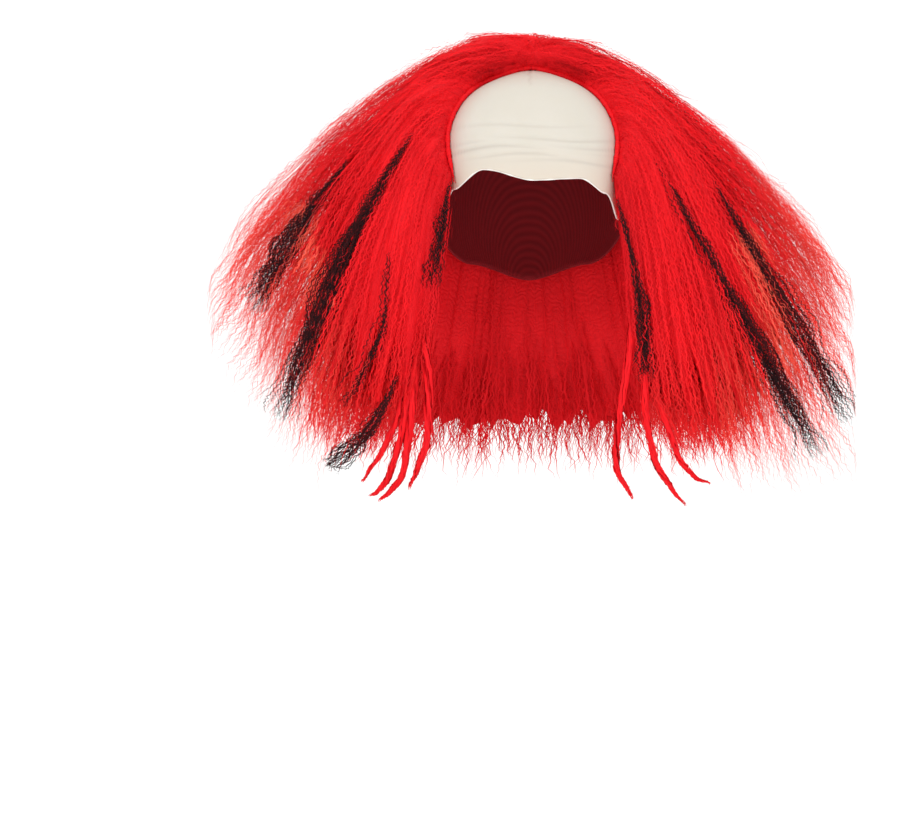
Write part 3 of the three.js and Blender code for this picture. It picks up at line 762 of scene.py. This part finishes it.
def ribbon_piece(name, slot, centres, widthways, half_width, tone):
    """A piece of flat ribbons: centres, widthways and tone have a row of points for each ribbon."""
    count, steps = centres.shape[:2]
    along = np.linspace(0, 1, steps)
    taper = np.minimum(1, 6 * (1.02 - along)) * np.minimum(1, 0.4 + 8 * along)
    reach = widthways * (half_width * taper)[None, :, None]
    points = np.stack([centres - reach, centres + reach], 2)
    first = 2 * ((np.arange(count) * steps)[:, None] + np.arange(steps - 1))
    faces = np.stack([first, first + 1, first + 3, first + 2], -1).reshape(-1, 4)
    down = length_along(centres, 1)
    across = (np.arange(count) * 0.37)[:, None] + 0 * down
    flow = np.stack([np.stack([place, down, 0 * down], -1) for place in (across, across + half_width)], 2)
    tone = np.repeat(tone[:, :, None, :], 2, 2)
    return mesh_piece(name, slot, STRAND_MATERIAL, points, faces, flow, tone)


def crimp(centres, widthways, outwards, amount, wander):
    """Zigzags the strands sideways and a little outwards, and lets them wander more towards their tips."""
    count, steps = centres.shape[:2]
    along = np.linspace(0, 1, steps)[None]
    jitter = random.uniform(-0.45, 0.45, (count, steps, 1))
    centres = centres + jitter * np.gradient(centres, axis=1)
    sign = np.where((np.arange(steps)[None] + random.integers(0, 2, (count, 1))) % 2, 1, -1)
    size = amount * random.uniform(0.2, 1.5, (count, steps))
    centres = centres + widthways * (sign * size)[..., None]
    centres = centres + outwards * (sign * size * draw(-0.6, 0.6, count))[..., None]
    for axis, rate in ((widthways, 1.0), (outwards, 0.6)):
        swing = np.sin(along * draw(4, 14, count) + draw(0, 6.3, count))
        swing += 0.5 * np.sin(along * draw(14, 30, count) + draw(0, 6.3, count))
        centres = centres + axis * (swing * rate * wander * (0.25 + along**1.5))[..., None]
    return centres


# Bunches of strands for each side. They root in tiers and rounds; angles place them on a lock's section, in
# degrees from its front to its outside, and reach is 1 on its surface; end is their length if they are
# short, and upper is how much sooner they end in the upper tiers; width to wander are in millimetres
# bright is a bunch's brightness, lowered on the inner strands as painted shade; pale is how much painted
# light through thin hair its tips take
BUNCH_KEYS = ["name", "count", "tiers", "rounds", "angles", "root_reach", "tip_reach", "start", "end",
              "short", "upper", "width", "step", "crimp", "wander", "bright", "pale"]
BUNCHES = [
    ("front", 410, (0, 0.97), (0, 0.03), (-60, 85), (0.5, 1), (0.7, 1.05),
     (0, 0.3), (0.72, 0.96), False, 0.22, 0.9, 2.6, 0.75, 1.2, 1, 0.1),
    ("front_fuzz", 900, (0, 0.97), (0, 0.03), (-60, 85), (0.85, 1), (1, 1.3),
     (0, 0.8), (0.05, 0.1), True, 0, 0.5, 2.6, 1.1, 2, 1, 0),
    ("fringe", 1340, (0.2, 0.92), (0, 0.8), (0, 110), (0.4, 1), (0.2, 1.5),
     (0.3, 0.66), (0.85, 1.07), False, 0, 0.44, 2.6, 1.25, 3.5, 1, 0.6),
    ("hem", 1560, (0, 0.3), (0, 4), (-110, 90), (0.3, 0.9), (0.4, 1.5),
     (0.68, 0.82), (0.88, 1.01), False, 0, 0.75, 3.5, 1.1, 3, 0.8, 0.1),
    ("outer", 390, (0.05, 1), (0.3, 4), (75, 105), (0.8, 1), (0.7, 1.1),
     (0, 0.45), (0.8, 1.04), False, 0.12, 0.8, 3.2, 0.8, 2, 0.95, 0.1),
    ("outer_fuzz", 1300, (0.1, 1), (0, 4), (60, 110), (0.8, 1), (1, 1.25),
     (0, 0.9), (0.04, 0.08), True, 0, 0.5, 2.6, 1.2, 2, 1, 0),
    ("layers", 560, (0.25, 0.98), (0.8, 4), (60, 105), (0.3, 0.8), (0.2, 1.3),
     (0.55, 0.75), (0.9, 1.04), False, 0, 1, 3.4, 0.9, 3, 0.95, 0.1),
    # Painted shade: the strands inside the back of the wig are darker
    ("inner", 100, (0, 0.25), (1.8, 4), (-100, -70), (0.7, 0.9), (0.6, 1.1),
     (0, 0.3), (0.85, 1.03), False, 0, 1.2, 3.2, 0.8, 2, 0.6, 0),
]
# The tiers where the fringe is a little longer on each side, and by how much
LONGER_TIERS = {-1: (0.6, 0.85), 1: (0.35, 0.6)}
FRINGE_LONGER = 0.06
# The share of strands by which the right side is fuller and the left sparser
RIGHT_FULLER = 0.11


def strand_span(bunch, side, tier, round_share):
    """Places along the lock for each strand of a bunch, and the shares of the strand where they are."""
    first = random.uniform(*bunch["start"], len(tier))
    last = random.uniform(*bunch["end"], len(tier))
    span = np.mean(bunch["end"])
    if bunch["short"]:
        last = first + last
    else:
        span = span - np.mean(bunch["start"])
        last = last + 0.03 * np.sin(tier * 43 + round_share * 9)
        last = last - bunch["upper"] * smoothstep(0.5, 0.75, tier)
    if bunch["name"] == "fringe":
        low, high = LONGER_TIERS[side]
        longer = smoothstep(low - 0.2, low, tier) * (1 - smoothstep(high, high + 0.2, tier))
        last = last + FRINGE_LONGER * longer
    steps = max(8, int(LOCK_LENGTH * span / (bunch["step"] * MM)))
    share = np.linspace(0, 1, steps)[None]
    return first[:, None] + (last - first)[:, None] * share, share


def strand_tone(bunch, tier, round_share, along, centres):
    """Brightness with painted shade, black share, and pale share of painted light through thin hair, for each
    point of a bunch's strands.
    """
    count, steps = along.shape
    streak = black_share(centres, draw(0, 1, count) * np.ones((1, steps)))
    black = (streak > draw(0.25, 1.3, count)).astype(float)
    # Painted light: pale where light shows through the sparse hair, and towards the tips of the front strands
    pale = (painted_backlight_share(centres) > draw(0.2, 1.0, count)).astype(float)
    pale_tip = bunch["pale"] * (1 - 0.85 * smoothstep(0.2, 0.75, round_share))[:, None]
    pale = np.maximum(pale, pale_tip * smoothstep(0.6, 1.0, along))
    bright = bunch["bright"] * (1 - 0.4 * band_share(tier, round_share))[:, None] * (1 - 0.5 * streak)
    # Painted shade beside the window and at the crown
    bright = bright * draw(0.8, 1.2, count) * painted_window_shade(centres)
    return np.stack([np.clip(bright, 0, 1), black, pale], -1)


def strand_piece(bunch, side, word):
    """One bunch of crimped strands that follow the locks of one side."""
    count = int(bunch["count"] * (1 + RIGHT_FULLER * side))
    tier = random.uniform(*bunch["tiers"], count)
    near, far = bunch["rounds"]
    round_share = near + (far - near) * random.uniform(0, 1, count) ** 1.2
    angle = np.radians(draw(*bunch["angles"], count))
    along, share = strand_span(bunch, side, tier, round_share)
    points, away, front, half_width, half_depth = hair_frame(side, tier, round_share, along)
    widthways = away * np.cos(angle)[..., None] - front * np.sin(angle)[..., None]
    outwards = away * np.sin(angle)[..., None] + front * np.cos(angle)[..., None]
    out = draw(*bunch["root_reach"], count) * (1 - share)
    out = out + draw(*bunch["tip_reach"], count) * share
    centres = points + away * (np.sin(angle) * out * half_depth)[..., None]
    centres = centres + front * (np.cos(angle) * out * half_width)[..., None]
    centres[..., 0] += crossing(tier[:, None], along, side, draw(0, 1.5, count))
    centres = crimp(centres, widthways, outwards, bunch["crimp"] * MM, bunch["wander"] * MM)
    centres = clear_of_head(centres, draw(-0.5 * MM, 1.0 * MM, count))
    twist = random.normal(0, 0.3, (count, 1, 1))
    widthways = unit(widthways * np.cos(twist) + outwards * np.sin(twist))
    tone = strand_tone(bunch, tier, round_share, along, centres)
    name = f"strands_{bunch['name']}_{word}"
    ribbon_piece(name, "red_hair", centres, widthways, bunch["width"] / 2 * MM, tone)


def all_strands():
    for values in BUNCHES:
        bunch = dict(zip(BUNCH_KEYS, values))
        for side, word in ((-1, "left"), (1, "right")):
            strand_piece(bunch, side, word)


def square_to(flow):
    """Directions to the front and across, square to the flow."""
    ahead = np.array([0, -1, 0])
    outwards = unit(ahead - flow * (flow @ ahead)[..., None])
    return outwards, np.cross(flow, outwards)


def streak_line(name, course, surface):
    """A streak's course laid on the front of the hair, and eased back where there is no hair behind it."""
    fronts = []
    for x, z in course:
        hit = surface.ray_cast(Vector((x, -1, z)), Vector((0, 1, 0)))[0]
        limit = fronts[-1] + STREAK_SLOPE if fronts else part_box(name)[1][1]
        fronts.append(min(hit.y, limit) if hit else limit - STREAK_SLOPE)
    fronts = np.convolve(np.pad(fronts, 4, mode="edge"), np.ones(9) / 9, mode="valid")
    return np.stack([course[:, 0], fronts, course[:, 1]], -1)


def streak_piece(name, line, wide, strength):
    """Black strands that spread along one streak's line."""
    length = length_along(line)[-1]
    steps = max(8, int(length * 0.85 / STREAK_STEP))
    count = 6 + int(34 * wide * strength)
    first = draw(0, 0.55, count)
    last = draw(0.82, 1.07, count)
    along = first + (last - first) * np.linspace(0, 1, steps)[None]
    centres = spline(line, np.clip(along, 0, 1) * (len(line) - 1))
    flow = unit(np.gradient(centres, axis=1))
    centres = centres + flow * (np.maximum(along - 1, 0) * length)[..., None]
    outwards, widthways = square_to(flow)
    uneven = 1 + 0.2 * np.sin(along * 17 + wide * 9) + 0.15 * np.sin(along * 41)
    spread = 0.12 + 0.75 * smoothstep(0, 0.7, along) + 0.35 * smoothstep(0.75, 1, along)
    half = wide * STREAK_HALF_WIDTH * spread * uneven
    lateral = random.normal(0, 0.75, (count, 1))
    centres = centres + widthways * (lateral * half)[..., None]
    centres = centres + outwards * random.uniform(-7 * MM, 2 * MM, (count, 1, 1))
    centres = clear_of_head(crimp(centres, widthways, outwards, 0.9 * MM, 1.8 * MM))
    tone = np.stack([0 * along, 0 * along + draw(0.93, 1, count), 0 * along], -1)
    piece = ribbon_piece(name + "_strands", "black_hair", centres, widthways, 0.4 * MM, tone)
    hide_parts(name)


def streak_pieces():
    points, faces, _, _ = curtains(1, True)
    surface = BVHTree.FromPolygons(points.tolist(), faces.tolist())
    for name, side, *points, wide, strength in STREAKS:
        line = streak_line(name, streak_course(side, points, 60), surface)
        streak_piece(name, line, wide, strength)


def wisp_piece(number, side, leaves, middle, tip, wide):
    """A thin twisted lock of strands wound round its middle."""
    along = np.array([[leaves - WISP_ROOT, leaves]])
    first = hair_frame(side, np.zeros(1), np.zeros(1), along)[0][0]
    knots = np.array([*first, place_of(side, *middle), place_of(side, *tip)])
    share = np.linspace(0, 1, WISP_STEPS)[None].repeat(WISP_STRANDS, 0)
    share = share * draw(0.9, 1.03, WISP_STRANDS)
    centres = spline(knots, np.clip(share, 0, 1) * 3)
    flow = unit(np.gradient(centres, axis=1))
    outwards, widthways = square_to(flow)
    kink = np.sin(share * 15 + number * 2) + 0.5 * np.sin(share * 37 + number)
    centres = centres + widthways * (WISP_KINK * kink * smoothstep(0.2, 0.5, share))[..., None]
    angle = draw(0, 2 * np.pi, WISP_STRANDS) + WISP_TURN * share
    radius = WISP_RADIUS * wide * np.interp(share, WISP_ALONG, WISP_SIZE)
    radius = radius * draw(0.5, 1.0, WISP_STRANDS)
    offset = widthways * (np.cos(angle) * radius)[..., None]
    offset = offset + outwards * (np.sin(angle) * radius)[..., None]
    turned = unit(np.cross(flow, offset))
    centres = crimp(centres + offset, turned, unit(offset), 0.45 * MM, 0.3 * MM)
    tone = np.stack([0 * share + draw(0.6, 1, WISP_STRANDS), 0 * share, 0 * share], -1)
    ribbon_piece(f"wisp_{number}", "red_hair", centres, turned, 0.9 * MM, tone)


def wisp_pieces():
    for number, wisp in enumerate(WISPS, 1):
        wisp_piece(number, *wisp)


def slerp(a, b, share):
    angle = np.arccos(np.clip((a * b).sum(-1), -1, 1))[..., None]
    return (a * np.sin((1 - share) * angle) + b * np.sin(share * angle)) / np.maximum(np.sin(angle), 1e-6)


def rim_points(turns):
    """Directions to the lower rim at each turn."""
    height = rim_height(turns)
    upright = height / np.where(height > 0, HEAD_TOP, HEAD_DEPTH)
    shrink = (1 - np.abs(upright) ** HEAD_FULLNESS) ** (1 / HEAD_FULLNESS)
    share = on_head(head_direction(turns, 0)) * shrink[:, None]
    share[:, 2] = upright
    return unit(share)


def seam_points(shares, back):
    """Directions to the seam at shares of its length, from the left side over the crown to the right, moved
    back by a distance."""
    heights = np.linspace(-0.36, 1.0, 200) * HEAD_TOP
    share_y = (seam_back(heights) + back) / HEAD_HALF_LENGTH
    share_z = heights / np.where(heights > 0, HEAD_TOP, HEAD_DEPTH)
    left = 1 - np.abs(share_y) ** HEAD_FULLNESS - np.abs(share_z) ** HEAD_FULLNESS
    kept = left > 0
    share_x = left[kept] ** (1 / HEAD_FULLNESS)
    half = np.stack([share_x, share_y[kept], share_z[kept]], -1)
    half = np.concatenate([half, half[-1:] * [0, 1, 1]])
    full = np.concatenate([half * [-1, 1, 1], half[::-1][1:]])
    length = length_along(full)
    at = shares * length[-1]
    return unit(np.stack([np.interp(at, length, full[:, k]) for k in range(3)], -1))


def shell(lower, upper, inside, wall, share, folds=None):
    """Points, faces and flow of a thin sheet on the head between two curves of directions, with a true
    thickness and a row at each share of the way."""
    columns, rows = len(lower), 2 * len(share)
    directions = unit(slerp(lower[None], upper[None], share[:, None, None]))
    outer, inner = head_point(directions, inside + wall), head_point(directions, inside)
    relief = folds(outer) if folds else np.zeros(outer.shape[:2])
    outer = outer + directions * relief[..., None]
    grid = np.concatenate([outer, inner[::-1]])
    # Painted shade in the fold valleys, carried in the flow's third value
    painted_fold_shade = np.concatenate([np.clip(-relief / DEEPEST_FOLD, 0, 0.6), 0 * relief])
    last = (rows - 1) * columns
    j = np.arange(columns - 1)
    closing = np.stack([last + j, last + j + 1, j + 1, j], -1)
    faces = np.concatenate([grid_faces(rows, columns), closing])
    flow = np.stack([length_along(grid, 1), length_along(grid), painted_fold_shade], -1)
    return grid, faces, flow


# Folds across the front of the dome: height, depth and bend, in millimetres
FOLDS = [(14.5, 0.3, 1.5), (18.5, 0.35, 2.5), (24, 0.45, 3.5), (28.5, 0.35, 3), (34, 0.35, 2), (45, 0.3, 1)]
FOLD_HALF = 1.5 * MM
# The relief at which the painted shade in a fold is darkest
DEEPEST_FOLD = 0.7 * MM
CREASE_DEPTH = 0.6 * MM
CREASE_HALF = 1.1 * MM


def dome_folds(points):
    """Faint folds across the front of the dome, and a short crease below its peak."""
    x, y, z = np.moveaxis(points, -1, 0)
    front = smoothstep(10 * MM, 50 * MM, -y)
    relief = np.zeros(x.shape)
    for number, (height, deep, bend) in enumerate(FOLDS):
        line = height + bend * np.cos(x / HEAD_HALF_WIDTH * 3.2 + number * 0.5)
        line = line + 0.6 * np.sin(x * 75 + number * 2)
        gap = (z - line * MM) / FOLD_HALF
        fade = 0.55 + 0.45 * np.sin(x * 38 + number * 1.7)
        relief += deep * MM * fade * (0.8 * np.exp(-((gap - 1.7) ** 2)) - np.exp(-(gap**2)))
    crease = np.exp(-(((x + 2 * MM + 0.8 * MM * np.sin(z * 900)) / CREASE_HALF) ** 2))
    crease *= smoothstep(78 * MM, 84 * MM, z) * smoothstep(0, 10 * MM, -y)
    return relief * front - CREASE_DEPTH * crease


def tube(name, slot, material, line, radius):
    """A tube along a line on the head, with a radius for each point."""
    flow = unit(np.gradient(line, axis=0))
    outwards = unit(line - flow * (line * flow).sum(-1, keepdims=True))
    side = np.cross(flow, outwards)
    angle = np.linspace(0, 2 * np.pi, 13)[:-1]
    ring = outwards[:, None] * np.cos(angle)[None, :, None] + side[:, None] * np.sin(angle)[None, :, None]
    points = line[:, None] + ring * radius[:, None, None]
    length = length_along(line)[:, None]
    flow = np.stack([length + 0 * angle, angle * radius.mean() + 0 * length, 0 * length + 0 * angle], -1)
    tone = np.array([0.75, 0, 0]) + 0 * points
    return mesh_piece(name, slot, material, points, grid_faces(len(line), 12, closed=True), flow, tone)


# Degrees round the head that the dome's front edge reaches, and where its roll starts and ends
DOME_TURN = 74
ROLL_TURNS = (-64, 66)


def bald_dome():
    spread = np.linspace(-1, 1, 121)
    spread = 0.4 * spread + 0.6 * spread**3
    lower = rim_points(spread * DOME_TURN)
    upper = seam_points(0.5 + 0.5 * spread, SEAM_LAP)
    rows = np.concatenate([np.linspace(0, 0.35, 50), np.linspace(0.35, 1, 36)[1:]])
    sheet = shell(lower, upper, 0, DOME_WALL, rows, dome_folds)
    dome = mesh_piece("bald_dome_sheet", "dome", dome_material(), *sheet)
    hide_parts("bald_dome")
    edge = head_point(rim_points(np.linspace(*ROLL_TURNS, 200)), DOME_WALL / 2)
    radius = EDGE_ROLL * (1 + 0.12 * np.sin(np.arange(200) * 0.35))
    tube("rolled_edge", "dome", highlight_edge_material(), edge, radius)


def hairline():
    """A soft roll of hair where the hair meets the dome, round the window."""
    left = EDGE[EDGE[:, 2] > 0] * [-1, 1, 1]
    line = np.concatenate([left, left[::-1][1:] * [-1, 1, 1]])
    away = unit(line)
    line = line + away * 0.6 * HAIRLINE_ROLL + unit(line * [1, 0, 1]) * 0.6 * HAIRLINE_ROLL
    steps = np.arange(len(line))
    radius = HAIRLINE_ROLL * (1 + 0.12 * np.sin(steps * 0.9) + 0.08 * np.sin(steps * 2.3 + 1))
    radius = radius * (0.15 + 0.85 * smoothstep(0, 14, np.minimum(steps, steps[::-1])))
    tube("hairline_roll", "red_hair", MASS_MATERIAL, line, radius)


def wig_base():
    upper = seam_points(np.linspace(0, 1, 121), 0)
    lower = rim_points(np.concatenate([np.linspace(-104, -180, 61), np.linspace(180, 104, 61)[1:]]))
    sheet = shell(lower, upper, DOME_WALL + CLEARANCE, BASE_WALL, np.linspace(0, 1, 40))
    base = mesh_piece("wig_base_net", "base", base_material(), *sheet)
    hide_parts("wig_base")


def backdrop():
    """A seamless pale floor that bends up behind the wig."""
    bend = np.radians(np.linspace(0, 90, 24))
    line = np.stack([SWEEP_START + SWEEP_BEND * np.sin(bend), FLOOR + SWEEP_BEND * (1 - np.cos(bend))], -1)
    line = np.concatenate([[[-STAGE_REACH, FLOOR]], line, [[line[-1, 0], STAGE_REACH]]])
    corners = [(x, y, z) for y, z in line for x in (-STAGE_REACH, STAGE_REACH)]
    mesh = bpy.data.meshes.new("backdrop")
    mesh.from_pydata(corners, [], grid_faces(len(line), 2).tolist())
    mesh.polygons.foreach_set("use_smooth", [True] * len(mesh.polygons))
    add_object("backdrop", mesh)
    paper, _, shader = new_material("paper")
    set_inputs(shader, {"Base Color": (0.92, 0.92, 0.92, 1), "Roughness": 0.9,
                        "Emission Color": (1, 1, 1, 1), "Emission Strength": 0.1})
    mesh.materials.append(paper)


def lights():
    """Soft light from all sides, and three lamps that aim at the wig."""
    scene = bpy.context.scene
    scene.view_settings.view_transform = "Standard"
    scene.world = bpy.data.worlds.new("studio")
    scene.world.use_nodes = True
    background = scene.world.node_tree.nodes["Background"]
    set_inputs(background, {"Color": (1, 1, 1, 1), "Strength": 1.05})
    for name, (place, size, power) in LIGHTS.items():
        lamp = bpy.data.lights.new(name, "AREA")
        lamp.size = size
        lamp.energy = power
        light = add_object(name, lamp)
        light.location = place
        light.rotation_euler = (Vector(LIGHT_AIM) - Vector(place)).to_track_quat("-Z", "Y").to_euler()


def camera():
    """The photograph's view, level and from the front."""
    lens = bpy.data.cameras.new("camera")
    lens.lens = lens.sensor_width * CAMERA_DISTANCE / (PHOTO_WIDTH * PIXEL)
    view = add_object("camera", lens)
    middle_x = (PHOTO_WIDTH / 2 - ORIGIN_PIXEL[0]) * PIXEL
    middle_z = (ORIGIN_PIXEL[1] - PHOTO_HEIGHT / 2) * PIXEL
    view.location = (middle_x, -CAMERA_DISTANCE - SCALE_AHEAD, middle_z)
    view.rotation_euler = (np.radians(90), 0, 0)
    bpy.context.scene.camera = view


backdrop()
lights()
camera()
bald_dome()
wig_base()
hair_mass()
hairline()
all_strands()
streak_pieces()
wisp_pieces()
